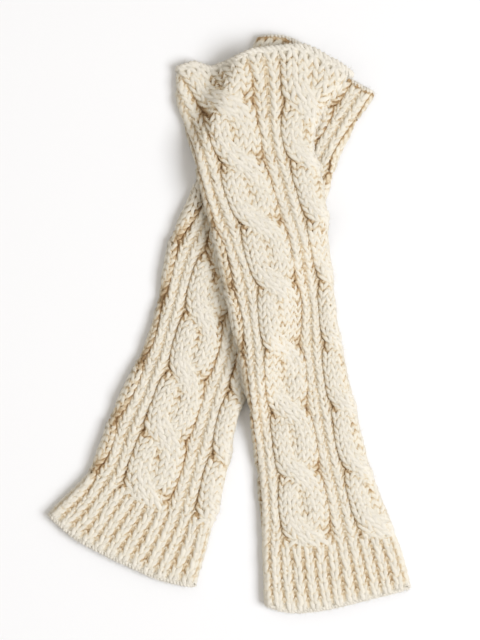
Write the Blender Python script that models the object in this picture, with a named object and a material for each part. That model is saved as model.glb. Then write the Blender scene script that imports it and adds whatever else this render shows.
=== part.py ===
"""A pair of cable-knit leg warmers lying flat and crossed, the upper one draped over the lower one.

Each leg warmer is a knitted tube with a ribbed cuff at its hem. A tube is lofted through flattened rings:
its outer points carry the cables and ribs, and its inside is plain. Lengths below are in millimetres.
"""

import math

import bmesh
import bpy
import numpy as np

MM = 0.001

# Knitted wall
WALL = 4.5  # thickness of the purl ground
SLIT = 1.5  # room between the front and the back panel of a tube that lies flat
CROWN = 1.2  # how much fuller a front panel is at its middle than at its folds
SEAM_GAP = 0.3  # cuff to tube
RELIEF_AT_FOLD = 2.2  # what ribs and cables add to the outline at each fold, on average

# Stitch pattern: four repeats around a tube, each a cable of six stitches and a panel of five rib stitches
REPEATS = 4
SPREAD = 0.14  # the front of a lying tube is stretched by this share, and its back drawn in as much
CABLE_HALF = 1 / 3  # half of a cable's width, in repeats
RIB_STITCH = (1 - 2 * CABLE_HALF) / 5
STRAND_HALF = CABLE_HALF / 2
CABLE_RISE = 4.0
BETWEEN_RISE = 2.8  # the crevice between a cable's two strands comes up to this height
CROSSING_LIFT = 1.0  # the strand on top stands this much prouder where it crosses
CROSSING_HALF = 19.0  # half of a crossing's length
CROSSING_FULLER = 1.3  # strands are this much wider where they cross
OPENS_AFTER = 13.0  # past the last crossing the cable opens into plain knit
OPENS_OVER = 31.0
OPEN_CABLE_RISE = 2.0
START_SHARE = 0.4  # of a cable's rise, where it grows out of the cuff's ribs
STARTS_OVER = 14.0
RIB_RISE = 1.7
KNIT_RIBS = (1.3, 3.7)  # middles of a panel's two knit ribs, in rib stitches
CUFF_RIBS = 28
CUFF_RIB_RISE = 1.6
PLAIN_FACING = -0.75  # the relief is gone where the wall's outward direction points this far down
FULL_FACING = -0.15  # and is full from here up

# Mesh
TUBE_ROW = 6.5  # outer rings, one for each knitted row
INSIDE_ROW = 17.0  # inner rings
CUFF_ROW = 14.0
CABLE_COLUMNS = (-0.29, -0.195, -0.1, 0.0, 0.1, 0.195, 0.29)
RIB_COLUMNS = tuple(CABLE_HALF + RIB_STITCH * k for k in (0.4, KNIT_RIBS[0], 2.5, KNIT_RIBS[1], 4.6))
SPAN_STEPS = 40  # points on the curve between two stations
FINE_STEP = 1.0  # spacing at which a leg's table is read off

# How the upper tube drapes over the lower one
DRAPE_CLEARANCE = 0.5
DRAPE_OVERHANG = 2.0  # full height is kept this far past the lower tube's outline
DRAPE_FALL = 24.0  # and is gone this much further out

# How far the upper tube's rim waves ahead of its smooth curve, across it (u is 1 at the right fold)
RIM_WAVE = (
    (-1.0, 0.0),
    (-0.8, 2.0),
    (-0.6, -5.5),
    (-0.38, -3.5),
    (-0.15, 0.5),
    (0.4, 0.0),
    (0.7, -5.0),
    (1.0, 0.5),
)
RIM_WAVE_FADES = 45.0  # the wave is gone this far down the tube

# Soft troughs in the front panels, row by row from hem to rim
CREASE_COLUMNS = ("along", "u", "depth", "width")
UPPER_CREASES = (
    (  # beside the left fold
        (150.0, -0.94, 0.0, 2.4),
        (184.0, -0.94, 2.2, 2.4),
        (231.0, -0.87, 2.8, 2.4),
        (280.0, -0.87, 2.8, 2.4),
        (310.0, -0.86, 2.6, 2.4),
        (347.0, -0.83, 2.2, 2.4),
        (375.0, -0.80, 0.0, 2.4),
    ),
    (  # left of the left cable, up to the rim
        (350.0, -0.57, 0.0, 2.2),
        (387.0, -0.56, 1.8, 2.2),
        (399.0, -0.61, 1.8, 2.4),
        (418.0, -0.68, 1.6, 2.6),
        (435.0, -0.80, 1.2, 2.6),
        (458.0, -0.90, 0.0, 2.6),
    ),
)
LOWER_CREASES = (
    (  # beside the left fold
        (0.0, -0.82, 0.4, 2.4),
        (28.0, -0.81, 1.5, 2.4),
        (67.0, -0.91, 2.4, 1.8),
        (122.0, -0.94, 2.6, 1.7),
        (163.0, -0.95, 2.6, 1.7),
        (186.0, -0.96, 2.3, 1.8),
        (238.0, -0.92, 2.4, 2.6),
        (293.0, -0.80, 2.4, 2.8),
        (330.0, -0.75, 0.0, 2.8),
    ),
    (  # where the upper one's edge presses into it
        (174.0, 0.43, 0.0, 2.6),
        (193.0, 0.24, 2.0, 2.6),
        (209.0, 0.18, 2.6, 2.8),
        (230.0, 0.08, 2.4, 2.8),
        (247.0, -0.15, 3.2, 2.6),
        (266.0, -0.33, 4.8, 3.0),
        (286.0, -0.55, 2.8, 2.6),
        (305.0, -0.72, 0.0, 2.6),
    ),
    (  # beside the upper one's right edge, near the rims
        (376.0, 0.57, 0.0, 2.0),
        (384.0, 0.54, 3.0, 2.0),
        (394.0, 0.50, 3.6, 2.0),
        (406.0, 0.44, 3.6, 2.0),
        (415.0, 0.48, 3.4, 2.0),
        (426.0, 0.55, 3.0, 2.0),
        (440.0, 0.58, 2.2, 2.0),
        (447.0, 0.59, 1.4, 2.0),
    ),
    (  # left of the right cable, under the upper one's edge
        (150.0, 0.66, 0.0, 2.2),
        (169.0, 0.65, 2.0, 2.2),
        (181.0, 0.61, 2.8, 2.2),
        (192.0, 0.59, 2.8, 2.2),
        (199.0, 0.45, 1.2, 2.2),
        (206.0, 0.30, 0.0, 2.2),
    ),
)

# The middle of the pair's box, in the layout that the tables use
BOX_MIDDLE = (1.28, -2.27)

# Stations from hem to rim. x, y: middle of the section. width: across the folds. lean: of the section,
# in degrees. bow: how far the section's middle runs ahead of its folds. skew: how far its right half runs
# ahead of its left half. turn: how far the pattern has turned around the tube, in repeats.
COLUMNS = ("x", "y", "width", "lean", "bow", "skew", "turn")
UPPER_LEG = (
    (93.1, -234.0, 130.5, 6.5, -8.5, 7.0, -0.27),
    (86.2, -191.0, 119.0, 5.0, -2.5, 2.0, -0.27),
    (76.3, -151.3, 102.6, 4.5, 0.0, 0.0, -0.22),
    (67.9, -109.7, 94.0, 5.0, 0.0, 0.0, -0.20),
    (60.3, -66.7, 90.0, 5.5, 0.0, 0.0, -0.19),
    (52.0, -24.7, 88.0, 6.3, 0.0, 0.0, -0.12),
    (44.6, 17.9, 91.0, 6.2, 0.0, 0.0, -0.04),
    (37.2, 64.6, 96.5, 6.0, 0.0, 0.0, -0.09),
    (28.0, 111.4, 103.5, 4.0, 1.0, 0.0, -0.18),
    (18.4, 152.0, 105.5, 1.0, 4.0, 3.0, -0.21),
    (19.0, 184.0, 129.1, -0.5, 11.0, 9.0, -0.31),
    (30.3, 210.8, 155.5, -2.8, 18.5, 17.0, -0.54),
)
LOWER_LEG = (
    (-91.0, -195.0, 144.5, -26.0, -9.5, 0.0, -0.09),
    (-65.0, -147.0, 117.0, -22.0, -2.5, 0.0, -0.08),
    (-50.2, -99.0, 108.0, -18.8, 0.0, 0.0, -0.07),
    (-39.3, -67.0, 100.0, -19.0, 0.0, 0.0, -0.06),
    (-23.5, -30.0, 97.0, -19.3, 0.0, 0.0, -0.12),
    (-12.5, 8.0, 98.5, -20.0, 0.0, 0.0, -0.12),
    (-3.3, 47.8, 102.1, -21.7, 0.0, 0.0, -0.055),
    (13.0, 87.2, 99.5, -23.0, 0.0, 0.0, 0.00),
    (34.2, 126.7, 107.4, -24.0, 1.0, 0.0, 0.07),
    (50.0, 166.0, 102.5, -25.0, 4.0, -3.0, 0.14),
    (75.2, 218.4, 113.0, -25.8, 6.5, -11.0, 0.19),
)
CUFF_HEIGHT = 48.0
CROSSINGS = {  # distances from the hem
    "upper": (55.5, 108.0, 163.0, 217.0, 271.0, 323.0, 374.0, 417.0),
    "lower": (56.0, 105.0, 160.0, 212.0, 264.0, 316.0, 368.0, 420.0),
}

TUBE_HEIGHT = 2 * WALL + SLIT + CROWN + CABLE_RISE + CROSSING_LIFT

YARN = {"base": (0.84, 0.78, 0.66, 1.0), "roughness": 0.95}


def smooth_step(x):
    x = np.clip(x, 0.0, 1.0)
    return x * x * (3 - 2 * x)


class Leg:
    """A leg warmer's table, read off evenly along its middle line."""

    def __init__(self, table, creases, rim_wave, tube_lift):
        rows = np.array(table)
        self.creases = [dict(zip(CREASE_COLUMNS, np.array(crease).T)) for crease in creases]
        self.rim_wave = rim_wave
        self.tube_lift = tube_lift
        fine = self.through(rows)
        steps = np.hypot(*np.diff(fine[:, :2], axis=0).T)
        travelled = np.concatenate([[0.0], np.cumsum(steps)])
        self.length = float(travelled[-1])
        self.along = np.arange(0.0, self.length + FINE_STEP, FINE_STEP).clip(max=self.length)
        self.values = {
            name: np.interp(self.along, travelled, fine[:, k]) for k, name in enumerate(COLUMNS)
        }

    @staticmethod
    def through(rows):
        """A Catmull-Rom curve through the table's rows."""
        ends = np.vstack([2 * rows[0] - rows[1], rows, 2 * rows[-1] - rows[-2]])
        t = np.linspace(0.0, 1.0, SPAN_STEPS, endpoint=False)[:, None]
        spans = []
        for a, b, c, d in zip(ends, ends[1:], ends[2:], ends[3:]):
            spans.append(
                b + 0.5 * t * (c - a + t * (2 * a - 5 * b + 4 * c - d + t * (3 * (b - c) + d - a)))
            )
        return np.vstack([*spans, rows[-1:]])

    def at(self, name, along):
        return np.interp(along, self.along, self.values[name])

    def wave(self, along, u):
        near_rim = smooth_step(1 - (self.length - along) / RIM_WAVE_FADES)
        return near_rim * np.interp(u, *self.rim_wave.T)

    def trough(self, along, u, half):
        """How deep the creases are, for a point at the full height of the tube."""
        depth = np.zeros_like(u)
        for crease in self.creases:
            u_at, deepest, width = (
                np.interp(along, crease["along"], crease[name]) for name in ("u", "depth", "width")
            )
            depth = np.maximum(depth, deepest * np.exp(-(((u - u_at) * half / width) ** 2)))
        return depth

    def place(self, along, across, up, half):
        """The point that lies across (from the middle line) and up (from what the tube lies on)."""
        lean = np.radians(self.at("lean", along))
        u = across / half
        ahead = self.at("bow", along) * (1 - np.abs(u) ** 3) + self.at("skew", along) * u * (1 - u * u)
        ahead = ahead + self.wave(along, u)
        up = up * (1 - self.trough(along, u, half) / TUBE_HEIGHT)
        x = self.at("x", along) + across * np.cos(lean) - ahead * np.sin(lean)
        y = self.at("y", along) + across * np.sin(lean) + ahead * np.cos(lean)
        return x, y, up + self.tube_lift(x, y)


def beyond_outline(leg, x, y):
    """How far a point lies outside a leg's outline, seen from above; negative inside."""
    x, y = np.atleast_1d(x), np.atleast_1d(y)
    px, py = leg.values["x"], leg.values["y"]
    nearest = np.argmin((x[:, None] - px) ** 2 + (y[:, None] - py) ** 2, axis=1)
    lean = np.radians(leg.values["lean"][nearest])
    dx, dy = x - px[nearest], y - py[nearest]
    aside = np.abs(dx * np.cos(lean) + dy * np.sin(lean)) - leg.values["width"][nearest] / 2
    ahead = dy * np.cos(lean) - dx * np.sin(lean) - leg.values["bow"][nearest]
    past_rim = np.where(nearest == len(px) - 1, ahead, -np.inf)
    return np.where(
        (aside > 0) & (past_rim > 0), np.hypot(aside, past_rim), np.maximum(aside, past_rim)
    )


def flat_on_surface(x, y):
    return np.zeros_like(np.asarray(x, float))


def strand_paths(from_crossing):
    """Sideways places of the upper and the lower strand, and how near the crossing is, from 0 to 1."""
    reach = np.clip(from_crossing / CROSSING_HALF, -1.0, 1.0)
    over = -STRAND_HALF * np.sin(reach * math.pi / 2)
    return over, -over, np.cos(reach * math.pi / 2) ** 2


def strand_bulge(sideways, slant):
    """A strand's rounded section: 1 on its middle, 0 at its edges. A strand that runs aslant is wider."""
    inside = 1 - (sideways / (STRAND_HALF * slant)) ** 2
    return np.sqrt(np.clip(inside, 0.0, 1.0))


def pattern_rise(repeat, along, crossings, repeat_width):
    """Height of the cables and ribs over the purl ground."""
    t = (repeat + 0.5) % 1.0 - 0.5
    from_crossing = min((along - at for at in crossings), key=abs)
    over, under, near = strand_paths(from_crossing)
    sideways_mm = STRAND_HALF * repeat_width * math.pi / 2
    slant = np.hypot(1.0, near * sideways_mm / CROSSING_HALF)
    slant = slant * (1 + (CROSSING_FULLER - 1) * near)
    top = (CABLE_RISE + CROSSING_LIFT * near) * strand_bulge(t - over, slant)
    beneath = (CABLE_RISE - CROSSING_LIFT * near) * strand_bulge(t - under, slant)
    edge = np.abs(over) + STRAND_HALF * slant
    between = BETWEEN_RISE * np.sqrt(np.clip(1 - (t / edge) ** 2, 0.0, 1.0))
    opened = smooth_step((along - crossings[-1] - OPENS_AFTER) / OPENS_OVER)
    started = START_SHARE + (1 - START_SHARE) * smooth_step((along - CUFF_HEIGHT) / STARTS_OVER)
    cable = np.maximum(np.maximum(top, beneath), between) * started * (1 - opened * (1 - OPEN_CABLE_RISE / CABLE_RISE))
    rib = np.zeros_like(cable)
    for k in KNIT_RIBS:
        stitch = np.abs(((t - CABLE_HALF - RIB_STITCH * k + 0.5) % 1.0) - 0.5) / RIB_STITCH
        rib = np.maximum(rib, RIB_RISE * np.cos(np.clip(stitch, 0, 1) * math.pi / 2) ** 2)
    return np.maximum(cable, rib)


def cuff_rise(turns):
    """Height of the cuff's ribs, which come once in each step of turns."""
    return CUFF_RIB_RISE * (0.5 + 0.5 * np.cos(2 * math.pi * turns))


def flattened_ring(share, half_width, half_height, crown):
    """A lying ring's points: share 0 is the left fold, 0.25 the top's middle, 0.5 the right fold.

    Returns the place across, the height above the ring's own middle, and the outward direction.
    """
    radius = half_height
    straight = 2 * (half_width - radius)
    bend = math.pi * radius
    total = 2 * (straight + bend)
    run = (np.asarray(share) % 1.0) * total
    run = np.where(run > total / 2, total - run, run)
    side = np.where((np.asarray(share) % 1.0) > 0.5, -1.0, 1.0)
    left = np.clip(run, 0, bend / 2) / radius
    right = np.clip(run - bend / 2 - straight, 0, bend / 2) / radius
    angle = math.pi - left - right
    middle = np.clip(run - bend / 2, 0, straight) - straight / 2
    out_x, out_z = np.cos(angle), np.sin(angle) * side
    fuller = crown * np.clip(1 - (middle / (straight / 2)) ** 2, 0, 1) * (side > 0)
    return middle + radius * out_x, radius * out_z + fuller, out_x, out_z


def ring_points(leg, along, share, rise, inner):
    """A ring of the tube in space; the inner one is the outer one less the wall, with no relief."""
    half_width = leg.at("width", along) / 2 - RELIEF_AT_FOLD
    half_height = WALL + SLIT / 2
    if inner:
        across, up, out_x, out_z = flattened_ring(share, half_width - WALL, SLIT / 2, CROWN)
    else:
        across, up, out_x, out_z = flattened_ring(share, half_width, half_height, CROWN)
        shown = smooth_step((out_z - PLAIN_FACING) / (FULL_FACING - PLAIN_FACING))
        across = across + rise * shown * out_x
        up = up + rise * shown * np.maximum(out_z, 0)
    return np.column_stack(leg.place(along, across, up + half_height, half_width))


def share_around(leg, along, columns):
    """Where the pattern's columns, counted in repeats, lie around a ring."""
    turns = (columns + leg.at("turn", along)) / REPEATS
    return 0.25 + turns + SPREAD * np.sin(2 * math.pi * turns) / (2 * math.pi)


def pattern_columns(step):
    """The pattern's own lines around a tube, so that ridges and grooves lie on the mesh's edges."""
    one = sorted(CABLE_COLUMNS + RIB_COLUMNS)
    return np.array([k + t for k in range(REPEATS) for t in one])[::step]


def cuff_columns(step):
    return np.arange(2 * CUFF_RIBS)[::step] / (2 * CUFF_RIBS) * REPEATS


def tube_rings(leg, name, start, end, spacing, inner):
    rings = []
    columns = pattern_columns(2 if inner else 1)
    for along in np.linspace(start, end, round((end - start) / spacing) + 1):
        share = share_around(leg, along, columns)
        repeat_width = leg.at("width", along) / 2
        rise = pattern_rise(columns, along, CROSSINGS[name], repeat_width)
        rings.append(ring_points(leg, along, share, rise, inner))
    return rings


def cuff_rings(leg, start, end, spacing, inner):
    rings = []
    columns = cuff_columns(2 if inner else 1)
    for along in np.linspace(start, end, round((end - start) / spacing) + 1):
        share = share_around(leg, along, columns)
        rise = cuff_rise(columns / REPEATS * CUFF_RIBS)
        rings.append(ring_points(leg, along, share, rise, inner))
    return rings


def quads_between(bm, first, second):
    for k in range(len(first)):
        bm.faces.new((first[k - 1], first[k], second[k], second[k - 1]))


def edge_band(bm, outer, inner):
    """The knitted edge's end face; the inner ring has a point for every second outer one."""
    count = len(inner)
    for k in range(count):
        a, b, c = outer[2 * k], outer[2 * k + 1], outer[(2 * k + 2) % len(outer)]
        near, far = inner[k], inner[(k + 1) % count]
        bm.faces.new((a, b, near))
        bm.faces.new((b, far, near))
        bm.faces.new((b, c, far))


def loft(name, outer_rings, inner_rings, material):
    """One closed wall: outer rings, inner rings, and an end face at each open edge."""
    bm = bmesh.new()

    def loops(rings):
        return [[bm.verts.new(point * MM) for point in ring] for ring in rings]

    outer, inner = loops(outer_rings), loops(inner_rings)
    for rings in (outer, inner):
        for first, second in zip(rings, rings[1:]):
            quads_between(bm, first, second)
    edge_band(bm, outer[0], inner[0])
    edge_band(bm, outer[-1], inner[-1])
    bmesh.ops.recalc_face_normals(bm, faces=bm.faces)
    bmesh.ops.triangulate(bm, faces=bm.faces, quad_method="SHORT_EDGE")
    mesh = bpy.data.meshes.new(name)
    bm.to_mesh(mesh)
    bm.free()
    mesh.shade_smooth()
    mesh.materials.append(material)
    piece = bpy.data.objects.new(name, mesh)
    bpy.context.scene.collection.objects.link(piece)
    return piece


def yarn_material():
    material = bpy.data.materials.new("cream_wool")
    material.use_nodes = True
    shader = material.node_tree.nodes["Principled BSDF"]
    shader.inputs["Base Color"].default_value = YARN["base"]
    shader.inputs["Roughness"].default_value = YARN["roughness"]
    shader.inputs["Metallic"].default_value = 0.0
    return material


def draped_over(lower):
    """How high the upper tube lies: on the lower one, then down to the surface past its outline."""
    full = TUBE_HEIGHT + DRAPE_CLEARANCE

    def lift(x, y):
        shape = np.shape(x)
        out = beyond_outline(lower, np.ravel(x), np.ravel(y))
        fallen = smooth_step((out - DRAPE_OVERHANG) / DRAPE_FALL)
        return (full * (1 - fallen)).reshape(shape)

    return lift


def build_leg(name, leg, material):
    tube_start = CUFF_HEIGHT + SEAM_GAP
    loft(
        f"{name}_tube",
        tube_rings(leg, name, tube_start, leg.length, TUBE_ROW, False),
        tube_rings(leg, name, tube_start, leg.length, INSIDE_ROW, True),
        material,
    )
    loft(
        f"{name}_cuff",
        cuff_rings(leg, 0.0, CUFF_HEIGHT, CUFF_ROW, False),
        cuff_rings(leg, 0.0, CUFF_HEIGHT, CUFF_ROW, True),
        material,
    )


def main():
    for piece in list(bpy.data.objects):
        bpy.data.objects.remove(piece)
    material = yarn_material()
    lower = Leg(LOWER_LEG, LOWER_CREASES, np.array([(-1.0, 0.0), (1.0, 0.0)]), flat_on_surface)
    upper = Leg(UPPER_LEG, UPPER_CREASES, np.array(RIM_WAVE), draped_over(lower))
    build_leg("lower", lower, material)
    build_leg("upper", upper, material)
    for piece in bpy.data.objects:
        piece.location = (-BOX_MIDDLE[0] * MM, -BOX_MIDDLE[1] * MM, 0.0)


main()
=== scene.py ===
import math

import bmesh
import bpy
import numpy as np
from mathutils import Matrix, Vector


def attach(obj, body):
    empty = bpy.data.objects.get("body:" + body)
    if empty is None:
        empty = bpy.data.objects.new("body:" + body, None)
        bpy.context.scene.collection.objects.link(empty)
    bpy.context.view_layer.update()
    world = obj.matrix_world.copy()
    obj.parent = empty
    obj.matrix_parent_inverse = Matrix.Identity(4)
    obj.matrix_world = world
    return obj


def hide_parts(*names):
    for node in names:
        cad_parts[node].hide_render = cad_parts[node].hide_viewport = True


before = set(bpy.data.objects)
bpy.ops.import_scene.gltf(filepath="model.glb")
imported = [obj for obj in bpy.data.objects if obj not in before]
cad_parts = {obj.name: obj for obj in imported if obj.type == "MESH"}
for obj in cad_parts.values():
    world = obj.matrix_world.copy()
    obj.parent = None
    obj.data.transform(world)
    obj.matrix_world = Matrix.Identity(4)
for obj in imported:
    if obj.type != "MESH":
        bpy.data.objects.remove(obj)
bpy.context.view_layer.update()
print("frame loaded")

mm = 0.001  # lengths below are in millimetres until a mesh is made
boxMiddle = (1.28, -2.27)  # middle of the pair's box, in the layout that the tables of stations use

cloth = {
    "wall": 4.5,  # from the purl ground to the plain inside
    "slit": 1.5,  # room between the front and the back panel
    "crown": 1.2,  # how much fuller a front panel is at its middle than at its folds
    "reliefAtFold": 2.2,
    "groundDepth": 2.5,  # the ground behind the loops lies this far under the cloth's face
    "groundShare": 0.85,  # it follows this much of the cables' and ribs' rise
    "groundRow": 3.25,
    "groundPerRepeat": 24,
    "groundPerRib": 4,
    "groundInset": 1.0,  # from the open edges
    "insideDeep": 4.0,  # the plain inside is painted with shade as deep as this
    "lowest": 0.06,
}

knit = {
    "repeats": 4,
    "spread": 0.14,  # the front is stretched by this share, and the back drawn in as much
    "cableHalf": 1 / 3,  # in repeats
    "strandHalf": 1 / 6,
    "strandStitches": 3,
    "strandFuller": 1.04,  # its loops are laid on a form this much wider than the strand
    "ribStitch": 1 / 15,
    "cableRise": 4.0,
    "betweenRise": 2.8,  # the crevice between a cable's two strands comes this high
    "crossingLift": 1.0,
    "crossingHalf": 19.0,
    "crossingFuller": 1.3,
    "opensAfter": 13.0,
    "opensOver": 31.0,
    "openRise": 2.0,
    "openEdge": 0.07,  # the opened cable falls to the ground over this many repeats
    "startShare": 0.4,  # of a cable's rise, where it grows out of the cuff's ribs
    "startsOver": 14.0,
    "pulledIn": 0.045,  # how far the purl stitches beside a cable follow it where it crosses
    "grooveDepth": 2.3,  # how much painted shade a cable's crevices get
    "grooveOut": 0.004,  # in repeats
    "grooveHalf": 0.02,
    "grooveUneven": 0.35,
    "underStrand": 0.85,  # the painted shade below a crossing's upper strand, as a share of the outline's
    "underReach": (0.3, 1.0, 1.5),  # it is full, starts to fade and ends here, in halves of a crossing
    "edgeReach": (3.0, 8.0),  # millimetres from an open edge, between which the painted shade of gaps comes to count in full
    "levelEdge": (0.02, 0.12),  # in repeats: how far out the cable's level ends, and over what width
    "ribRise": 1.7,
    "knitRibs": (1.3, 3.7),
    "panel": (0.5, 1.6, 0.8, 1.6, 0.5),  # widths of a panel's stitches, in rib stitches
    "cuffPair": (1.36, 0.64),
    "plainFacing": -0.75,
    "fullFacing": -0.15,
    "hiddenFacing": -0.6,  # rows that face down more than this have fewer points
    "cuffHeight": 48.0,
    "cuffRibs": 28,
    "cuffRibRise": 1.6,
    "cuffGroove": 0.7,  # how much painted shade the grooves between a cuff's ribs get
    "seamGap": 0.3,
    "row": 6.5,
    "firstRow": 0.45,  # in rows, above the cuff
    "lastRow": 0.3,  # in rows, below the rim
    "cuffRow": 6.85,
}

yarn = {
    "loopHeight": 1.7,  # in rows, so that each loop reaches through the one above
    "sway": 0.31,  # how far a loop's legs lean apart, in stitch widths
    "depth": 0.55,  # from the middle of the cloth to a leg in front or an arc behind
    "purlDepth": 0.6,  # purl arcs stand out this much of that
    "cuffPurlDepth": 0.85,
    "cuffSway": 0.24,
    "thick": 0.41,  # radius, in stitch widths
    "thinnest": 1.85,
    "purlThinnest": 1.15,
    "thickest": 2.6,
    "proud": 0.5,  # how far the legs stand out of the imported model's face
    "seen": (5, 12),  # sides of the yarn, and points to a stitch
    "hidden": (4, 7),
    "fullFront": (0.2, 0.8),  # a stitch is fully in front or behind between these shares of its width
    "fromEdge": 1.6,  # loops turn this far inside the open edges
    "unevenPlace": 0.12,  # in stitch widths
    "unevenAlong": 0.6,
    "unevenDepth": 0.25,
    "unevenThickness": 0.15,
}

wander = {  # slow waves that move and swell the cloth
    "along": 0.45,
    "across": 0.42,
    "puff": 0.22,
    "waves": 5,
    "around": 9,
    "shortest": 24.0,
    "longest": 80.0,
}

columnNames = ("x", "y", "width", "lean", "bow", "skew", "turn")  # a station, from hem to rim
creaseNames = ("along", "u", "depth", "width")  # a soft trough in the front panel, row by row, also painted with shade
rimWaveFades = 45.0  # the rim's waves, in millimetres ahead at each place across, are gone this far down

upperLeg = {
    "stations": (
        (93.1, -234.0, 130.5, 6.5, -8.5, 7.0, -0.27),
        (86.2, -191.0, 119.0, 5.0, -2.5, 2.0, -0.27),
        (76.3, -151.3, 102.6, 4.5, 0.0, 0.0, -0.22),
        (67.9, -109.7, 94.0, 5.0, 0.0, 0.0, -0.20),
        (60.3, -66.7, 90.0, 5.5, 0.0, 0.0, -0.19),
        (52.0, -24.7, 88.0, 6.3, 0.0, 0.0, -0.12),
        (44.6, 17.9, 91.0, 6.2, 0.0, 0.0, -0.04),
        (37.2, 64.6, 96.5, 6.0, 0.0, 0.0, -0.09),
        (28.0, 111.4, 103.5, 4.0, 1.0, 0.0, -0.18),
        (18.4, 152.0, 105.5, 1.0, 4.0, 3.0, -0.21),
        (19.0, 184.0, 129.1, -0.5, 11.0, 9.0, -0.31),
        (30.3, 210.8, 155.5, -2.8, 18.5, 17.0, -0.54),
    ),
    "creases": (
        (  # beside the left fold
            (150.0, -0.94, 0.0, 2.4),
            (184.0, -0.94, 2.2, 2.4),
            (231.0, -0.87, 2.8, 2.4),
            (280.0, -0.87, 2.8, 2.4),
            (310.0, -0.86, 2.6, 2.4),
            (347.0, -0.83, 2.2, 2.4),
            (375.0, -0.80, 0.0, 2.4),
        ),
        (  # left of the left cable, up to the rim
            (350.0, -0.57, 0.0, 2.2),
            (387.0, -0.56, 1.8, 2.2),
            (399.0, -0.61, 1.8, 2.4),
            (418.0, -0.68, 1.6, 2.6),
            (435.0, -0.80, 1.2, 2.6),
            (458.0, -0.90, 0.0, 2.6),
        ),
    ),
    "rimWave": (
        (-1.0, 0.0), (-0.8, 2.0), (-0.6, -5.5), (-0.38, -3.5),
        (-0.15, 0.5), (0.4, 0.0), (0.7, -5.0), (1.0, 0.5),
    ),
    "crossings": (55.5, 108.0, 163.0, 217.0, 271.0, 323.0, 374.0, 417.0),
    "edgeShares": (0.65, 0.4),  # how much the painted shade of gaps counts at the hem and at the rim
    # weaker painted crevice shade on the upper one stands in for the stronger light on it
    "grooveShare": 0.6,
    "seed": 11,
}

lowerLeg = {
    "stations": (
        (-91.0, -195.0, 144.5, -26.0, -9.5, 0.0, -0.09),
        (-65.0, -147.0, 117.0, -22.0, -2.5, 0.0, -0.08),
        (-50.2, -99.0, 108.0, -18.8, 0.0, 0.0, -0.07),
        (-39.3, -67.0, 100.0, -19.0, 0.0, 0.0, -0.06),
        (-23.5, -30.0, 97.0, -19.3, 0.0, 0.0, -0.12),
        (-12.5, 8.0, 98.5, -20.0, 0.0, 0.0, -0.12),
        (-3.3, 47.8, 102.1, -21.7, 0.0, 0.0, -0.055),
        (13.0, 87.2, 99.5, -23.0, 0.0, 0.0, 0.00),
        (34.2, 126.7, 107.4, -24.0, 1.0, 0.0, 0.07),
        (50.0, 166.0, 102.5, -25.0, 4.0, -3.0, 0.14),
        (75.2, 218.4, 113.0, -25.8, 6.5, -11.0, 0.19),
    ),
    "creases": (
        (  # beside the left fold
            (0.0, -0.82, 0.4, 2.4),
            (28.0, -0.81, 1.5, 2.4),
            (67.0, -0.91, 2.4, 1.8),
            (122.0, -0.94, 2.6, 1.7),
            (163.0, -0.95, 2.6, 1.7),
            (186.0, -0.96, 2.3, 1.8),
            (238.0, -0.92, 2.4, 2.6),
            (293.0, -0.80, 2.4, 2.8),
            (330.0, -0.75, 0.0, 2.8),
        ),
        (  # where the upper one's edge presses into it, with painted shade from that edge
            (174.0, 0.43, 0.0, 2.6),
            (193.0, 0.24, 2.0, 2.6),
            (209.0, 0.18, 2.6, 2.8),
            (230.0, 0.08, 2.4, 2.8),
            (247.0, -0.15, 3.2, 2.6),
            (266.0, -0.33, 4.8, 3.0),
            (286.0, -0.55, 2.8, 2.6),
            (305.0, -0.72, 0.0, 2.6),
        ),
        (  # beside the upper one's right edge, near the rims, with painted shade for that edge's shadow
            (376.0, 0.57, 0.0, 2.0),
            (384.0, 0.54, 3.0, 2.0),
            (394.0, 0.50, 3.6, 2.0),
            (406.0, 0.44, 3.6, 2.0),
            (415.0, 0.48, 3.4, 2.0),
            (426.0, 0.55, 3.0, 2.0),
            (440.0, 0.58, 2.2, 2.0),
            (447.0, 0.59, 1.4, 2.0),
        ),
        (  # left of the right cable, under the upper one's edge, with painted shade for that edge's shadow
            (150.0, 0.66, 0.0, 2.2),
            (169.0, 0.65, 2.0, 2.2),
            (181.0, 0.61, 2.8, 2.2),
            (192.0, 0.59, 2.8, 2.2),
            (199.0, 0.45, 1.2, 2.2),
            (206.0, 0.30, 0.0, 2.2),
        ),
    ),
    "rimWave": ((-1.0, 0.0), (1.0, 0.0)),
    "crossings": (56.0, 105.0, 160.0, 212.0, 264.0, 316.0, 368.0, 420.0),
    "edgeShares": (0.65, 1.1),
    "grooveShare": 1.0,
    "seed": 29,
}

drape = {"clearance": 0.5, "overhang": 2.0, "fall": 24.0}  # how the upper one comes down past the lower one
tubeHeight = 2 * cloth["wall"] + cloth["slit"] + cloth["crown"] + knit["cableRise"] + knit["crossingLift"]


def smoothStep(x):
    x = np.clip(x, 0.0, 1.0)
    return x * x * (3 - 2 * x)


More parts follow.
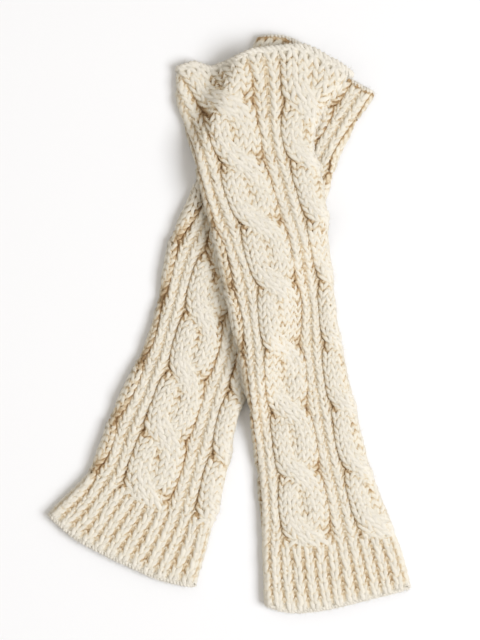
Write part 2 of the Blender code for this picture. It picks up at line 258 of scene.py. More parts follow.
class Leg:  # a leg warmer's stations, read off evenly along its middle line
    def __init__(self, name, values, lift):
        self.name, self.lift = name, lift
        self.crossings = np.array(values["crossings"])
        self.creases = [dict(zip(creaseNames, np.array(crease).T)) for crease in values["creases"]]
        self.rimWave = np.array(values["rimWave"]).T
        self.edgeShares, self.grooveShare = values["edgeShares"], values["grooveShare"]
        self.random = np.random.default_rng(values["seed"])
        self.waves = self.random.uniform(0, 1, (3, wander["waves"], 3))
        fine = self.through(np.array(values["stations"]))
        steps = np.hypot(*np.diff(fine[:, :2], axis=0).T)
        travelled = np.concatenate([[0.0], np.cumsum(steps)])
        self.length = float(travelled[-1])
        self.along = np.arange(0.0, self.length + 1.0).clip(max=self.length)
        self.values = {n: np.interp(self.along, travelled, fine[:, k]) for k, n in enumerate(columnNames)}

    @staticmethod
    def through(rows, pointsPerSpan=40):  # a Catmull-Rom curve
        ends = np.vstack([2 * rows[0] - rows[1], rows, 2 * rows[-1] - rows[-2]])
        t = np.linspace(0.0, 1.0, pointsPerSpan, endpoint=False)[:, None]
        spans = [
            b + 0.5 * t * (c - a + t * (2 * a - 5 * b + 4 * c - d + t * (3 * (b - c) + d - a)))
            for a, b, c, d in zip(ends, ends[1:], ends[2:], ends[3:])
        ]
        return np.vstack([*spans, rows[-1:]])

    def at(self, name, along):
        values = self.values[name]
        past = np.maximum(along - self.length, 0) * (values[-1] - values[-3]) / 2
        before = np.minimum(along, 0) * (values[2] - values[0]) / 2
        return np.interp(along, self.along, values) + past + before

    def trough(self, along, u, half):  # how deep the creases are
        depth = np.zeros(np.shape(u))
        for crease in self.creases:
            middle, deepest, width = (np.interp(along, crease["along"], crease[n]) for n in creaseNames[1:])
            depth = np.maximum(depth, deepest * np.exp(-(((u - middle) * half / width) ** 2)))
        return depth

    def place(self, along, across, up, half):
        lean = np.radians(self.at("lean", along))
        u = across / half
        ahead = self.at("bow", along) * (1 - np.abs(u) ** 3) + self.at("skew", along) * u * (1 - u * u)
        ahead = ahead + smoothStep(1 - (self.length - along) / rimWaveFades) * np.interp(u, *self.rimWave)
        up = up * (1 - self.trough(along, u, half) / tubeHeight)
        x = self.at("x", along) + across * np.cos(lean) - ahead * np.sin(lean)
        y = self.at("y", along) + across * np.sin(lean) + ahead * np.cos(lean)
        return np.stack([x, y, up + self.lift(x, y)], axis=-1)

    def drift(self, number, along, column):  # slow waves over the cloth, from about -1 to 1
        total = 0.0
        for around, pitch, phase in self.waves[number]:
            turns = np.round(around * wander["around"]) * column / knit["repeats"]
            length = wander["shortest"] + (wander["longest"] - wander["shortest"]) * pitch
            total = total + np.sin(2 * math.pi * (turns + along / length + phase))
        return total / math.sqrt(wander["waves"])

    def onCloth(self, along, column, height, rise=0.0):
        # a point at some height over the purl ground, and the way that the cloth faces there
        drifts = [self.drift(k, along, column) for k in range(3)]
        along = along + wander["along"] * drifts[0]
        column = column + wander["across"] * drifts[1] / self.at("width", along) * 2
        height = height + wander["puff"] * (drifts[2] - 1)
        halfWidth = self.at("width", along) / 2 - cloth["reliefAtFold"]
        halfHeight = cloth["wall"] + cloth["slit"] / 2
        turns = (column + self.at("turn", along)) / knit["repeats"]
        share = 0.25 + turns + knit["spread"] * np.sin(2 * math.pi * turns) / (2 * math.pi)
        across, up, outX, outZ = flattenedRing(share, halfWidth, halfHeight)
        shown = smoothStep((outZ - knit["plainFacing"]) / (knit["fullFacing"] - knit["plainFacing"]))
        across = across + (height + rise * shown) * outX
        up = up + height * outZ + rise * shown * np.maximum(outZ, 0)
        lean = np.radians(self.at("lean", along))
        out = np.stack([outX * np.cos(lean), outX * np.sin(lean), outZ + 0 * lean], axis=-1)
        # the crease depth, for painted crease shade
        dip = self.trough(along, across / halfWidth, halfWidth) * shown
        return self.place(along, across, up + halfHeight, halfWidth), out, shown, dip

    def facing(self, along, column):  # 1 where the cloth faces up, -1 where it faces down
        return self.onCloth(along, column, 0.0)[1][..., 2]


def flattenedRing(share, halfWidth, radius):  # share 0 is the left fold, 0.25 the top's middle
    straight = 2 * (halfWidth - radius)
    bend = math.pi * radius
    total = 2 * (straight + bend)
    run = (share % 1.0) * total
    run = np.where(run > total / 2, total - run, run)
    side = np.where((share % 1.0) > 0.5, -1.0, 1.0)
    left = np.clip(run, 0, bend / 2) / radius
    right = np.clip(run - bend / 2 - straight, 0, bend / 2) / radius
    angle = math.pi - left - right
    middle = np.clip(run - bend / 2, 0, straight) - straight / 2
    outX, outZ = np.cos(angle), np.sin(angle) * side
    fuller = cloth["crown"] * np.clip(1 - (middle / (straight / 2)) ** 2, 0, 1) * (side > 0)
    return middle + radius * outX, radius * outZ + fuller, outX, outZ


def beyondOutline(leg, x, y, atOnce=20000):  # how far points lie outside a leg's outline, seen from above
    px, py = leg.values["x"], leg.values["y"]
    out = np.empty(len(x))
    for start in range(0, len(x), atOnce):
        xs, ys = x[start:start + atOnce], y[start:start + atOnce]
        nearest = np.argmin((xs[:, None] - px) ** 2 + (ys[:, None] - py) ** 2, axis=1)
        lean = np.radians(leg.values["lean"][nearest])
        dx, dy = xs - px[nearest], ys - py[nearest]
        aside = np.abs(dx * np.cos(lean) + dy * np.sin(lean)) - leg.values["width"][nearest] / 2
        ahead = dy * np.cos(lean) - dx * np.sin(lean) - leg.values["bow"][nearest]
        pastRim = np.where(nearest == len(px) - 1, ahead, -np.inf)
        corner = (aside > 0) & (pastRim > 0)
        both = np.hypot(np.where(corner, aside, 0), np.where(corner, pastRim, 0))
        out[start:start + atOnce] = np.where(corner, both, np.maximum(aside, pastRim))
    return out


def drapedOver(lower):
    full = tubeHeight + drape["clearance"]

    def lift(x, y):
        out = beyondOutline(lower, np.ravel(x), np.ravel(y))
        fallen = smoothStep((out - drape["overhang"]) / drape["fall"])
        return (full * (1 - fallen)).reshape(np.shape(x))

    return lift


def strands(along, crossingAt):  # where the strand on top lies, and how near the two are to crossing
    reach = np.clip((along - crossingAt) / knit["crossingHalf"], -1, 1)
    over = -knit["strandHalf"] * np.sin(reach * math.pi / 2)
    return over, np.cos(reach * math.pi / 2) ** 2


def widening(near, repeatWidth):
    sideways = knit["strandHalf"] * repeatWidth * math.pi / 2
    slant = np.hypot(1.0, near * sideways / knit["crossingHalf"])
    return slant * (1 + (knit["crossingFuller"] - 1) * near)


def nearestCrossing(leg, along):
    return leg.crossings[np.abs(np.asarray(along)[..., None] - leg.crossings).argmin(axis=-1)]


def opening(leg, along):  # 1 where the cable has opened into plain knit
    return smoothStep((along - leg.crossings[-1] - knit["opensAfter"]) / knit["opensOver"])


def grown(along):
    return smoothStep((along - knit["cuffHeight"]) / knit["startsOver"])


def started(along):  # cables grow out of the cuff's ribs
    return knit["startShare"] + (1 - knit["startShare"]) * grown(along)


def fromCable(column):  # places across count from the nearest cable's middle, in repeats
    return (column + 0.5) % 1.0 - 0.5


def ribHump(t):
    rise = 0.0
    for k in knit["knitRibs"]:
        stitch = np.abs(fromCable(t - knit["cableHalf"] - knit["ribStitch"] * k)) / knit["ribStitch"]
        rise = np.maximum(rise, np.cos(np.clip(stitch, 0, 1) * math.pi / 2) ** 2)
    return knit["ribRise"] * rise


def cableEdge(leg, along):  # half of the whole cable's width, in repeats
    over, near = strands(along, nearestCrossing(leg, along))
    return np.abs(over) + knit["strandHalf"] * widening(near, leg.at("width", along) / 2)


def rounded(share):
    return np.sqrt(np.clip(1 - share ** 2, 0, 1))


def betweenRise(leg, along, column):
    return knit["betweenRise"] * rounded(fromCable(column) / cableEdge(leg, along))


def patternRise(leg, along, column):  # cables and ribs over the purl ground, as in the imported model
    t = fromCable(column)
    over, near = strands(along, nearestCrossing(leg, along))
    wide = knit["strandHalf"] * widening(near, leg.at("width", along) / 2)
    lift = knit["crossingLift"] * near
    top = (knit["cableRise"] + lift) * rounded((t - over) / wide)
    beneath = (knit["cableRise"] - lift) * rounded((t + over) / wide)
    cable = np.maximum(np.maximum(top, beneath), betweenRise(leg, along, column))
    cable = cable * started(along) * (1 - opening(leg, along) * (1 - knit["openRise"] / knit["cableRise"]))
    return np.maximum(cable, ribHump(t))


def crevice(away):
    return np.exp(-((away / knit["grooveHalf"]) ** 2))


def creviceShade(leg, along, column):  # painted shade in the crevices along a cable's outline and below a crossing's upper strand
    t = fromCable(column)
    crossingAt = nearestCrossing(leg, along)
    over, near = strands(along, crossingAt)
    strandEdge = over - knit["strandHalf"] * widening(near, leg.at("width", along) / 2)
    full, fades, ends = knit["underReach"]
    below = (crossingAt - along) / knit["crossingHalf"]
    under = knit["underStrand"] * smoothStep(below / full) * smoothStep((ends - below) / (ends - fades))
    outline = crevice(np.abs(t) - cableEdge(leg, along) - knit["grooveOut"])
    inner = under * grown(along) * crevice(t - strandEdge)
    varied = 1 + knit["grooveUneven"] * leg.drift(2, along, column)
    return knit["grooveDepth"] * leg.grooveShare * varied * np.maximum(outline, inner)


def edgeShadeFade(leg, along):  # how much the painted shade counts beside the hem and the rim
    hem, rim = leg.edgeShares
    near, far = knit["edgeReach"]
    return np.interp(along, [near, far, leg.length - far, leg.length - near], [hem, 1.0, 1.0, rim])


def cuffRise(leg, along, column):
    turns = column / knit["repeats"] * knit["cuffRibs"]
    return knit["cuffRibRise"] * (0.5 + 0.5 * np.cos(2 * math.pi * turns))


def faceLevel(leg, along, column):  # the level of the knit's fronts, from which gaps count deep for painted shade, plus the painted crevice shade
    out, over = knit["levelEdge"]
    inCable = smoothStep((knit["cableHalf"] + out - np.abs(fromCable(column))) / over)
    opened = opening(leg, along)
    cable = knit["cableRise"] + (knit["openRise"] - knit["cableRise"]) * opened
    level = knit["ribRise"] + (cable * started(along) - knit["ribRise"]) * inCable
    return level + creviceShade(leg, along, column) * (1 - opened)


# the cuff's front level, plus painted shade in the grooves between its ribs
def cuffLevel(leg, along, column):
    return knit["cuffRibRise"] + knit["cuffGroove"] * (1 - cuffRise(leg, along, column) / knit["cuffRibRise"])


class Tubes:  # yarns of one piece, gathered as arrays
    def __init__(self):
        self.points, self.deep, self.faces, self.uvs, self.facing = [], [], [], [], []
        self.roots = []  # where fuzz may grow
        self.count = 0

    def sweep(self, centre, out, radius, deep, sides, closed=False):
        if closed:
            ahead = np.roll(centre, -1, 1) - np.roll(centre, 1, 1)
        else:
            ahead = np.gradient(centre, axis=1)
        ahead /= np.linalg.norm(ahead, axis=-1, keepdims=True)
        side = np.cross(ahead, out)
        side /= np.linalg.norm(side, axis=-1, keepdims=True) + 1e-9
        up = np.cross(side, ahead)
        angle = 2 * math.pi * (np.arange(sides) + 0.5) / sides
        around = np.cos(angle)[:, None] * side[:, :, None, :] + np.sin(angle)[:, None] * up[:, :, None, :]
        points = centre[:, :, None, :] + radius[:, :, None, None] * around
        height = radius[:, :, None] * np.einsum("bnsk,bnk->bns", around, out)
        runs, length = centre.shape[:2]
        first = self.count + np.arange(runs)[:, None, None] * length * sides
        n = np.arange(length if closed else length - 1)[:, None]
        k = np.arange(sides)[None, :]
        here, there = n * sides, (n + 1) % length * sides
        turned = (k + 1) % sides
        quads = np.stack([here + k, there + k, there + turned, here + turned], axis=-1)
        self.faces.append((first[..., None] + quads[None]).reshape(-1, 4))
        travelled = np.cumsum(np.linalg.norm(np.diff(centre, axis=1), axis=-1), axis=1)
        travelled = np.concatenate([np.zeros((runs, 1)), travelled], axis=1)
        if closed:
            last = np.linalg.norm(centre[:, 0] - centre[:, -1], axis=-1, keepdims=True)
            travelled = np.concatenate([travelled, travelled[:, -1:] + last], axis=1)
        u = np.stack([travelled[:, :-1], travelled[:, 1:], travelled[:, 1:], travelled[:, :-1]], axis=-1)
        u = np.repeat(u[:, :, None, :], sides, axis=2)
        v = np.stack([k, k, k + 1, k + 1], axis=-1) / sides + 0 * u
        self.uvs.append(np.stack([u, v], axis=-1).reshape(-1, 2))
        if not closed:
            ring = np.arange(sides)
            ends = np.stack([ring, (length - 1) * sides + ring[::-1]])
            self.faces.append((first + ends[None]).reshape(-1, sides))
            self.uvs.append(np.zeros((runs * 2 * sides, 2)))
        self.points.append(points.reshape(-1, 3))
        # painted shade: a yarn's side that faces into the cloth counts deeper
        self.deep.append((deep[:, :, None] - height).reshape(-1))
        self.facing.append(np.repeat(out, sides, axis=1).reshape(-1, 3))
        aheads = np.repeat(ahead, sides, axis=1).reshape(-1, 3)
        self.roots.append((points.reshape(-1, 3), around.reshape(-1, 3), aheads))
        self.count += runs * length * sides

    def mesh(self, name, material):
        facing, deep = np.vstack(self.facing), np.concatenate(self.deep)
        return meshOf(name, np.vstack(self.points), self.faces, deep, facing, self.uvs, material)


def meshOf(name, points, faces, deep, facing, uvs, material):
    mesh = bpy.data.meshes.new(name)
    points = points - np.array([boxMiddle[0], boxMiddle[1], 0.0])
    points[:, 2] = np.maximum(points[:, 2], cloth["lowest"])
    points *= mm
    mesh.vertices.add(len(points))
    mesh.vertices.foreach_set("co", points.astype(np.float32).ravel())
    sizes = np.concatenate([np.full(len(f), f.shape[1]) for f in faces])
    corners = np.concatenate([f.ravel() for f in faces])
    mesh.loops.add(len(corners))
    mesh.loops.foreach_set("vertex_index", corners.astype(np.int32))
    mesh.polygons.add(len(sizes))
    mesh.polygons.foreach_set("loop_start", (np.cumsum(sizes) - sizes).astype(np.int32))
    mesh.update(calc_edges=True)
    # each point's shade depth, which the wool's colour ramp paints as shade
    mesh.attributes.new("deep", "FLOAT", "POINT").data.foreach_set("value", deep.astype(np.float32))
    if facing is not None:
        layer = mesh.attributes.new("facing", "FLOAT_VECTOR", "POINT")
        layer.data.foreach_set("vector", facing.astype(np.float32).ravel())
    if uvs is not None:
        layer = mesh.uv_layers.new(name="alongYarn")
        layer.data.foreach_set("uv", np.concatenate(uvs).astype(np.float32).ravel())
    mesh.shade_smooth()
    mesh.materials.append(material)
    piece = bpy.data.objects.new(name, mesh)
    bpy.context.scene.collection.objects.link(piece)
    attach(piece, "root")
    return piece


def courseShape(widths, fronts, pointsPerStitch, closed=False, sway=yarn["sway"]):
    # one course of loops: place across, swing along, swing in depth; fronts are 1 for knit and -1 for purl
    count = len(widths)
    tau = np.arange(count * pointsPerStitch + (not closed)) / pointsPerStitch
    edges = np.concatenate([[0.0], np.cumsum(widths)])
    stitch = np.minimum(np.floor(tau).astype(int), count - 1)
    across = np.interp(tau, np.arange(count + 1), edges)
    across = across + sway * widths[stitch] * np.sin(4 * math.pi * tau)
    marks, levels = [], []
    for i in range(count):
        marks += [i + place for place in yarn["fullFront"]]
        levels += [fronts[i], fronts[i]]
    if closed:
        marks = [marks[-1] - count, *marks, marks[0] + count]
        levels = [levels[-1], *levels, levels[0]]
    else:
        marks, levels = [0.0, *marks, count], [1.0, *levels, 1.0]
    front = np.interp(tau, marks, levels)
    isKnit = (front - min(levels)) / (1 - min(levels)) if min(levels) < 1 else np.ones(len(tau))
    return tau, across, -0.5 * np.cos(2 * math.pi * tau), -front * np.cos(4 * math.pi * tau), isKnit, stitch


def uneven(leg, runs, count, tau, closed=False):  # slow changes from stitch to stitch, from -1 to 1
    values = leg.random.uniform(-1, 1, (runs, count + 1))
    if closed:
        values[:, -1] = values[:, 0]
    at = np.minimum(tau, count - 1e-6)
    low = np.floor(at).astype(int)
    mix = smoothStep(at - low)
    return values[:, low] * (1 - mix) + values[:, low + 1] * mix


def sideShadeShare(out):  # painted shade of gaps and crevices counts for less where the cloth faces sideways
    least, fullAt = wool["besideFold"]
    return least + (1 - least) * smoothStep(out[..., 2] / fullAt)


def layCourse(tubes, leg, rows, shape, share, columnAt, riseAt, sides, level=faceLevel, closed=False):
    # lays one kind of course on the cloth at each row; columnAt and riseAt read the points' places,
    # and share is each stitch's width in repeats
    tau, across, swing, front, isKnit, stitch = shape
    rowHeight = knit["cuffRow"] if closed else knit["row"]

    def vary():
        return uneven(leg, len(rows), len(share), tau, closed)

    along = rows[:, None] + swing[None, :] * rowHeight * yarn["loopHeight"]
    along = along + yarn["unevenAlong"] * vary()
    along = np.clip(along, yarn["fromEdge"], leg.length - yarn["fromEdge"])
    column = columnAt(along, across[None, :] + 0 * along)
    width = leg.at("width", along) / 2 * share[stitch]
    thinnest = yarn["purlThinnest"] + (yarn["thinnest"] - yarn["purlThinnest"]) * isKnit[None, :]
    radius = np.clip(yarn["thick"] * width, thinnest, yarn["thickest"])
    column = column + vary() * yarn["unevenPlace"] * width / leg.at("width", along) * 2
    radius = radius * (1 + yarn["unevenThickness"] * vary())
    rise = riseAt(along, column, across[None, :])
    shown = leg.onCloth(along, column, 0.0)[2]
    height = front[None, :] * yarn["depth"] - yarn["depth"] - radius + yarn["proud"] * shown
    height = height + yarn["unevenDepth"] * (vary() - 1)
    centre, out, shown, dip = leg.onCloth(along, column, height, rise)
    # painted shade from depth under the knit's front level, behind neighbouring loops and in creases
    below = (level(leg, along, column) - rise) * shown * sideShadeShare(out)
    behind = ((1 - front[None, :]) / 2) ** wool["gapCurve"]
    gapShade = wool["purlGap"] + (wool["knitGap"] - wool["purlGap"]) * isKnit[None, :]
    deep = (below - height + wool["dipShown"] * dip + behind * gapShade) * edgeShadeFade(leg, along)
    tubes.sweep(centre, out, radius, deep, sides, closed)


def tubeRows(leg, column, seen, hidden):  # a column's rows that show, then those that lie underneath
    row = knit["row"]
    rows = np.arange(knit["cuffHeight"] + row * knit["firstRow"], leg.length - row * knit["lastRow"], row)
    shows = leg.facing(rows, column + 0 * rows) > knit["hiddenFacing"]
    for tubes, detail, chosen in ((seen, yarn["seen"], rows[shows]), (hidden, yarn["hidden"], rows[~shows])):
        if len(chosen):
            yield tubes, *detail, chosen


def knitCables(leg, seen, hidden):
    strandWidth = 2 * knit["strandHalf"]
    share = np.full(knit["strandStitches"], strandWidth / knit["strandStitches"])
    for repeat in range(knit["repeats"]):
        for sign in (1, -1):  # the strand on top, then the one beneath
            for tubes, sides, perStitch, rows in tubeRows(leg, repeat, seen, hidden):
                crossingAt = nearestCrossing(leg, rows)[:, None]

                def columnAt(along, across):
                    over, near = strands(along, crossingAt)
                    wide = widening(near, leg.at("width", along) / 2)
                    return repeat + sign * over + (across - strandWidth / 2) * wide

                def riseAt(along, column, across):
                    near = strands(along, crossingAt)[1]
                    bulge = rounded((across - strandWidth / 2) / (knit["strandHalf"] * knit["strandFuller"]))
                    opened = opening(leg, along)
                    plateau = smoothStep((knit["cableHalf"] - np.abs(fromCable(column))) / knit["openEdge"])
                    cable = (knit["cableRise"] + sign * knit["crossingLift"] * near) * bulge
                    cable = np.maximum(cable, betweenRise(leg, along, column))
                    return cable * started(along) * (1 - opened) + knit["openRise"] * plateau * opened

                shape = courseShape(share, [1] * len(share), perStitch)
                layCourse(tubes, leg, rows, shape, share, columnAt, riseAt, sides)


def knitRibPanels(leg, seen, hidden):
    share = np.array(knit["panel"]) * knit["ribStitch"]
    half = share.sum() / 2
    purl = -yarn["purlDepth"]
    for repeat in range(knit["repeats"]):
        for tubes, sides, perStitch, rows in tubeRows(leg, repeat + 0.5, seen, hidden):
            crossingAt = nearestCrossing(leg, rows)[:, None]

            def columnAt(along, across):
                near = strands(along, crossingAt)[1]
                fromMiddle = (across - half) / half
                return repeat + knit["cableHalf"] + across + knit["pulledIn"] * near * fromMiddle ** 3

            def riseAt(along, column, across):
                return ribHump(fromCable(column))

            shape = courseShape(share, [purl, 1, purl, 1, purl], perStitch)
            layCourse(tubes, leg, rows, shape, share, columnAt, riseAt, sides)


def knitCuff(leg, tubes):
    rows = knit["cuffRow"] * (np.arange(round(knit["cuffHeight"] / knit["cuffRow"])) + 0.5)
    step = knit["repeats"] / knit["cuffRibs"]
    share = np.array(knit["cuffPair"] * knit["cuffRibs"]) * step / 2
    fronts = [1, -yarn["cuffPurlDepth"]] * knit["cuffRibs"]
    sides, perStitch = yarn["seen"]

    def columnAt(along, across):
        return across - share[0] / 2

    def riseAt(along, column, across):
        return cuffRise(leg, along, column)

    shape = courseShape(share, fronts, perStitch, closed=True, sway=yarn["cuffSway"])
    layCourse(tubes, leg, rows, shape, share, columnAt, riseAt, sides, cuffLevel, closed=True)


edgeRope = {
    "radius": 1.35,
    "turnRadius": 1.3,
    "sides": 6,
    "points": 8,  # to a turn, which is a stitch long
    "inset": 0.6,
    "rimStitches": 44,
    "hemStitches": 56,
    "steadiness": 24,  # the higher, the less the twist strays
    "fullWidth": 5.5,  # width of a stitch whose yarn has that radius
    "largest": 1.2,
    "riseShare": 0.5,  # it follows this much of the relief
    "swell": 0.06,
    "deep": 0.4,  # painted shade depth of its middle
}


def knitEdge(leg, tubes, along, stitches, rise):  # two yarns twisted around each other on the open edge
    count = stitches * edgeRope["points"]
    column = np.arange(count) / count * knit["repeats"]
    size = min(edgeRope["largest"], leg.at("width", along) * 2 / stitches / edgeRope["fullWidth"])
    swing = edgeRope["turnRadius"] * size
    for phase in (0.0, math.pi):
        turn = 2 * math.pi * np.arange(count) / edgeRope["points"] + phase
        turn = turn + leg.random.uniform(-1, 1, count).cumsum() / edgeRope["steadiness"]
        radius = edgeRope["radius"] * (1 + edgeRope["swell"] * np.sin(turn * 3)) * size
        height = -cloth["wall"] / 2 + swing * np.sin(turn)
        risen = rise(leg, np.full(count, along), column) * edgeRope["riseShare"]
        centre, out = leg.onCloth(along + swing * np.cos(turn), column, height, risen)[:2]
        # painted shade, darker where a yarn turns behind the other
        deep = edgeRope["deep"] - swing * np.sin(turn)
        tubes.sweep(centre[None], out[None], radius[None], deep[None], edgeRope["sides"], closed=True)


fuzz = {
    "perLeg": 12500,
    "facesUp": 0.15,  # fibres start where the yarn faces up at least this much
    "deepest": 3.2,  # and where it lies no deeper than this
    "shortest": 1.5,
    "longest": 5.5,
    "thick": 0.1,
    "taper": 0.8,
    "sunk": 0.3,  # the root starts this far inside the yarn
    "lift": 0.42,
    "stray": 0.35,
    "curl": 0.7,
    "flatter": 0.6,
    "droop": 0.15,
    "lowest": 0.1,
    "deep": 0.2,
}


def unit(vectors):
    return vectors / np.linalg.norm(vectors, axis=1, keepdims=True)


def growFuzz(leg, sources, count):  # loose fibres that stand off the yarn: two triangular rings and a tip
    points, outs, aheads = (np.vstack([r[k] for t in sources for r in t.roots]) for k in range(3))
    deep = np.concatenate([d for t in sources for d in t.deep])
    showing = np.flatnonzero((outs[:, 2] > fuzz["facesUp"]) & (deep < fuzz["deepest"]))
    picked = leg.random.choice(showing, count, replace=False)
    root, out, ahead = points[picked], outs[picked], aheads[picked]
    length = leg.random.uniform(fuzz["shortest"], fuzz["longest"], count)[:, None]
    stray = leg.random.normal(size=(count, 3))
    start = unit(out * fuzz["lift"] + ahead * leg.random.uniform(-1, 1, (count, 1)) + fuzz["stray"] * stray)
    bend = start + fuzz["curl"] * leg.random.normal(size=(count, 3))
    bend[:, 2] = bend[:, 2] * fuzz["flatter"] - fuzz["droop"]
    middle = root + start * length / 2
    tip = middle + unit(bend) * length / 2
    side = unit(np.cross(start, stray))
    other = np.cross(start, side)
    rings, atRoot = [], fuzz["thick"]
    for centre, thick in ((root - start * fuzz["sunk"], atRoot), (middle, atRoot * fuzz["taper"])):
        for k in range(3):
            angle = 2 * math.pi * k / 3
            rings.append(centre + thick * (math.cos(angle) * side + math.sin(angle) * other))
    points = np.stack([*rings, tip], axis=1)
    points[..., 2] = np.maximum(points[..., 2], fuzz["lowest"])
    first = np.arange(count)[:, None, None] * 7
    quads = np.array([[k, (k + 1) % 3, 3 + (k + 1) % 3, 3 + k] for k in range(3)])
    tips = np.array([[3 + k, 3 + (k + 1) % 3, 6] for k in range(3)] + [[2, 1, 0]])
    faces = [(first + quads[None]).reshape(-1, 4), (first + tips[None]).reshape(-1, 3)]
    deep = np.full(count * 7, fuzz["deep"])
    return meshOf(f"{leg.name}Fuzz", points.reshape(-1, 3), faces, deep, None, None, woolFuzz)


def groundShell(leg, name, start, end, columns, rise, level):
    # the thin cloth behind the loops: out along its face, back along its plain inside, closed at both edges
    alongs = np.linspace(start, end, round((end - start) / cloth["groundRow"]) + 1)
    along, column = np.meshgrid(alongs, columns, indexing="ij")
    risen = rise(leg, along, column) * cloth["groundShare"]
    face, out, shown, dip = leg.onCloth(along, column, -cloth["groundDepth"], risen)
    inside = leg.onCloth(along, column, -cloth["wall"])[0]
    points = np.concatenate([face, inside[::-1]])
    # painted shade on the ground's face by its depth and creases, and on the plain inside
    below = (level(leg, along, column) - risen) * shown * sideShadeShare(out)
    deepFace = (below + cloth["groundDepth"] + wool["dipShown"] * dip) * edgeShadeFade(leg, along)
    deep = np.concatenate([deepFace, np.full(along.shape, cloth["insideDeep"])])
    rows, count = points.shape[:2]
    r, c = np.arange(rows)[:, None], np.arange(count)[None, :]
    here, after, beside = r * count, (r + 1) % rows * count, (c + 1) % count
    corners = [here + c, here + beside, after + beside, after + c]
    faces = np.stack(corners, axis=-1).reshape(-1, 4)[:, ::-1]
    facing = np.concatenate([out, -out]).reshape(-1, 3)
    return meshOf(name, points.reshape(-1, 3), [faces], deep.reshape(-1), facing, None, woolGround)


class Graph:  # a material's nodes, added by kind, settings and socket values
    def __init__(self, name):
        self.material = bpy.data.materials.new(name)
        self.material.use_nodes = True
        self.tree = self.material.node_tree
        self.shader = self.tree.nodes["Principled BSDF"]

    def add(self, kind, settings=None, values=None, output=0):
        node = self.tree.nodes.new(kind)
        for key, value in (settings or {}).items():
            if key == "stops":
                setStops(node.color_ramp, value)
            else:
                setattr(node, key, value)
        for key, value in (values or {}).items():
            self.feed(node.inputs[key], value)
        return Value(self, node.outputs[output])

    def math(self, operation, *values):
        return self.add("ShaderNodeMath", {"operation": operation}, dict(enumerate(values)))

    def vector(self, operation, *values, **named):
        sockets = {**dict(enumerate(values)), **named}
        return self.add("ShaderNodeVectorMath", {"operation": operation}, sockets)

    def feed(self, socket, value):
        if isinstance(value, Value):
            self.tree.links.new(value.socket, socket)
        else:
            socket.default_value = value

    def finish(self, **values):
        for key, value in values.items():
            self.feed(self.shader.inputs[key], value)
        return self.material


class Value:  # a socket that takes arithmetic
    def __init__(self, graph, socket):
        self.graph, self.socket = graph, socket

    def math(self, operation, *others):
        return self.graph.math(operation, self, *others)

    def other(self, output):  # another socket of the same node
        return Value(self.graph, self.socket.node.outputs[output])

    def __add__(self, other):
        return self.math("ADD", other)

    def __sub__(self, other):
        return self.math("SUBTRACT", other)

    def __rsub__(self, other):
        return self.graph.math("SUBTRACT", other, self)

    def __mul__(self, other):
        return self.math("MULTIPLY", other)

    __radd__, __rmul__ = __add__, __mul__


def setStops(ramp, stops):
    while len(ramp.elements) < len(stops):
        ramp.elements.new(0.5)
    for element, (place, colour) in zip(ramp.elements, stops):
        element.position, element.color = place, (*colour, 1.0)


wool = {
    "dipShown": 0.35,  # how much painted shade a crease gets from its depth
    "knitGap": 2.2,  # painted shade: how much deeper a loop counts where it runs behind its neighbours
    "purlGap": 0.9,
    "gapCurve": 0.7,
    "deepest": 6.3,  # depth at which the darkest painted shade is reached
    "besideFold": (0.35, 0.5),  # how much painted shade counts at a fold's side, and how far up cloth faces for all of it
    "softness": 0.35,  # how far the wool's haze evens out its shading, from 0 to 1
    # colour by shade depth: cream on top, then painted shade from ochre to dark brown
    "stops": (
        (0.00, (0.775, 0.735, 0.65)),
        (0.32, (0.765, 0.715, 0.605)),
        (0.48, (0.66, 0.55, 0.385)),
        (0.68, (0.42, 0.28, 0.145)),
        (1.00, (0.17, 0.09, 0.035)),
    ),
    "patches": {"size": 28.0, "detail": 2.0, "shown": 0.10},  # size in features to the metre
    "fibres": {"size": 900.0, "detail": 3.0, "shown": 0.16, "bump": 0.5},
    "plies": {"pitch": 3.2, "shown": 0.03, "bump": 0.35},  # pitch in millimetres of yarn to one turn; shown is painted shade between the plies
    "bump": {"Strength": 0.2, "Distance": 0.0004},
    "finish": {
        "Roughness": 0.95,
        "Sheen Weight": 0.12,
        "Sheen Roughness": 0.6,
        "Sheen Tint": (1.0, 0.92, 0.8, 1.0),
        "Specular IOR Level": 0.12,
    },
    "fuzzFinish": {"Roughness": 1.0, "Specular IOR Level": 0.1},
}


def woolMaterial(name, twisted):
    graph = Graph(name)
    spot = graph.add("ShaderNodeTexCoord", output="Object")

    def noise(values):
        sockets = {"Vector": spot, "Scale": values["size"], "Detail": values["detail"]}
        return graph.add("ShaderNodeTexNoise", None, sockets)

    def attribute(name, output):
        return graph.add("ShaderNodeAttribute", {"attribute_name": name}, output=output)

    patches, fibres = noise(wool["patches"]), noise(wool["fibres"])
    # the ramp paints shade by each point's shade depth; the noises vary the tone at random
    level = attribute("deep", "Fac") * (1 / wool["deepest"])
    level = level + (patches - 0.5) * wool["patches"]["shown"] + (fibres - 0.5) * wool["fibres"]["shown"]
    bumps = fibres * wool["fibres"]["bump"]
    if twisted:
        run = graph.add("ShaderNodeSeparateXYZ", None, {0: spot.other("UV")})
        turns = run * (2 * math.pi / wool["plies"]["pitch"]) + run.other(1) * (4 * math.pi)
        plies = turns.math("SINE")
        bumps = bumps + plies * wool["plies"]["bump"]
        # painted shade between the plies
        level = level - plies * wool["plies"]["shown"]
    evened = graph.vector("SCALE", attribute("facing", "Vector"), Scale=wool["softness"])
    own = graph.vector("SCALE", spot.other("Normal"), Scale=1 - wool["softness"])
    softened = graph.vector("NORMALIZE", graph.vector("ADD", own, evened))
    return graph.finish(**wool["finish"], **{
        "Base Color": graph.add("ShaderNodeValToRGB", {"stops": wool["stops"]}, {"Fac": level}),
        "Normal": graph.add("ShaderNodeBump", None, {**wool["bump"], "Height": bumps, "Normal": softened}),
    })


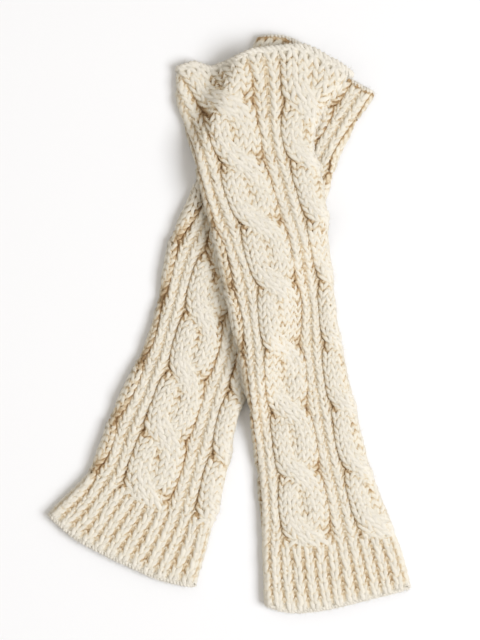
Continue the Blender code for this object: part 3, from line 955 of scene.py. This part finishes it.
def fuzzMaterial():
    palest = wool["stops"][0][1]
    return Graph("looseFibres").finish(**wool["fuzzFinish"], **{"Base Color": (*palest, 1.0)})


woolYarn = woolMaterial("creamWoolYarn", twisted=True)
woolGround = woolMaterial("creamWoolGround", twisted=False)
woolFuzz = fuzzMaterial()
print("materials made")


def triangles(pieces):
    return sum(len(face.vertices) - 2 for piece in pieces for face in piece.data.polygons)


def buildLeg(leg):
    cableYarn, ribYarn, backYarn, cuffYarn, edgeYarn = (Tubes() for _ in range(5))
    knitCables(leg, cableYarn, backYarn)
    knitRibPanels(leg, ribYarn, backYarn)
    knitCuff(leg, cuffYarn)
    knitEdge(leg, edgeYarn, leg.length - edgeRope["inset"], edgeRope["rimStitches"], patternRise)
    knitEdge(leg, edgeYarn, edgeRope["inset"], edgeRope["hemStitches"], cuffRise)
    named = {"Cables": cableYarn, "Ribs": ribYarn, "Back": backYarn, "CuffRibs": cuffYarn, "Edges": edgeYarn}
    pieces = {key: tubes.mesh(f"{leg.name}{key}", woolYarn) for key, tubes in named.items()}
    pieces["Fuzz"] = growFuzz(leg, [cableYarn, ribYarn, cuffYarn, edgeYarn], fuzz["perLeg"])
    perRepeat, perRib, inset = cloth["groundPerRepeat"], cloth["groundPerRib"], cloth["groundInset"]
    tubeColumns = np.arange(knit["repeats"] * perRepeat) / perRepeat
    cuffColumns = np.arange(knit["cuffRibs"] * perRib) / perRib * knit["repeats"] / knit["cuffRibs"]
    cuffEnd = knit["cuffHeight"]
    start, end = cuffEnd + knit["seamGap"], leg.length - inset
    tube = groundShell(leg, f"{leg.name}TubeCloth", start, end, tubeColumns, patternRise, faceLevel)
    cuff = groundShell(leg, f"{leg.name}CuffCloth", inset, cuffEnd, cuffColumns, cuffRise, cuffLevel)
    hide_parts(f"{leg.name}_tube")
    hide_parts(f"{leg.name}_cuff")
    total = triangles([*pieces.values(), tube, cuff])
    print(f"{leg.name} leg warmer: {leg.length:.0f} mm along its middle, {total} triangles")


table = {
    "size": 6.0,
    "below": 0.0003,  # the lowest points lie this far above it
    "finish": {"Base Color": (0.875, 0.88, 0.89, 1.0), "Roughness": 0.8},
}


def makeTable():
    mesh = bpy.data.meshes.new("tableTop")
    bm = bmesh.new()
    bmesh.ops.create_grid(bm, x_segments=1, y_segments=1, size=table["size"] / 2)
    bmesh.ops.translate(bm, vec=(0, 0, -table["below"]), verts=bm.verts)
    bm.to_mesh(mesh)
    bm.free()
    top = bpy.data.objects.new("tableTop", mesh)
    bpy.context.scene.collection.objects.link(top)
    mesh.materials.append(Graph("whiteTable").finish(**table["finish"]))


view = {
    "lens": 100.0,
    "sensor": 36.0,  # along the picture's long side
    "height": 0.544,  # metres of table from the picture's top to its bottom
    "level": 0.014,  # height at which that is measured
    "centre": (9.76, 0.88),  # what the camera is over, in the tables' layout
}


def makeCamera():
    data = bpy.data.cameras.new("overhead")
    data.lens, data.sensor_width = view["lens"], view["sensor"]
    camera = bpy.data.objects.new("overhead", data)
    distance = view["height"] * view["lens"] / view["sensor"]
    across, up = ((centre - middle) * mm for centre, middle in zip(view["centre"], boxMiddle))
    camera.location = (across, up, view["level"] + distance)
    bpy.context.scene.collection.objects.link(camera)
    bpy.context.scene.camera = camera


studio = {
    "sky": {"Color": (1.0, 0.93, 0.83, 1.0), "Strength": 0.43},
    "key": {"at": (2.5, -0.75, 3.2), "size": 2.25, "power": 146.5, "colour": (0.98, 1.0, 1.045)},
    "fill": {"at": (-0.6, 0.35, 1.3), "size": 1.8, "power": 4.2, "colour": (1.0, 1.0, 1.0)},
}


def makeLights():
    world = bpy.data.worlds.new("studioSky")
    world.use_nodes = True
    for key, value in studio["sky"].items():
        world.node_tree.nodes["Background"].inputs[key].default_value = value
    bpy.context.scene.world = world
    for name in ("key", "fill"):
        values = studio[name]
        data = bpy.data.lights.new(name, "AREA")
        data.size, data.energy, data.color = values["size"], values["power"], values["colour"]
        lamp = bpy.data.objects.new(name, data)
        lamp.location = values["at"]
        lamp.rotation_mode = "QUATERNION"
        lamp.rotation_quaternion = (-Vector(values["at"])).to_track_quat("-Z", "Y")
        bpy.context.scene.collection.objects.link(lamp)
    bpy.context.scene.view_settings.view_transform = "Standard"


makeCamera()
lower = Leg("lower", lowerLeg, lambda x, y: np.zeros(np.shape(x)))
upper = Leg("upper", upperLeg, drapedOver(lower))
buildLeg(lower)
buildLeg(upper)
makeTable()
makeLights()
print("table and lights set")
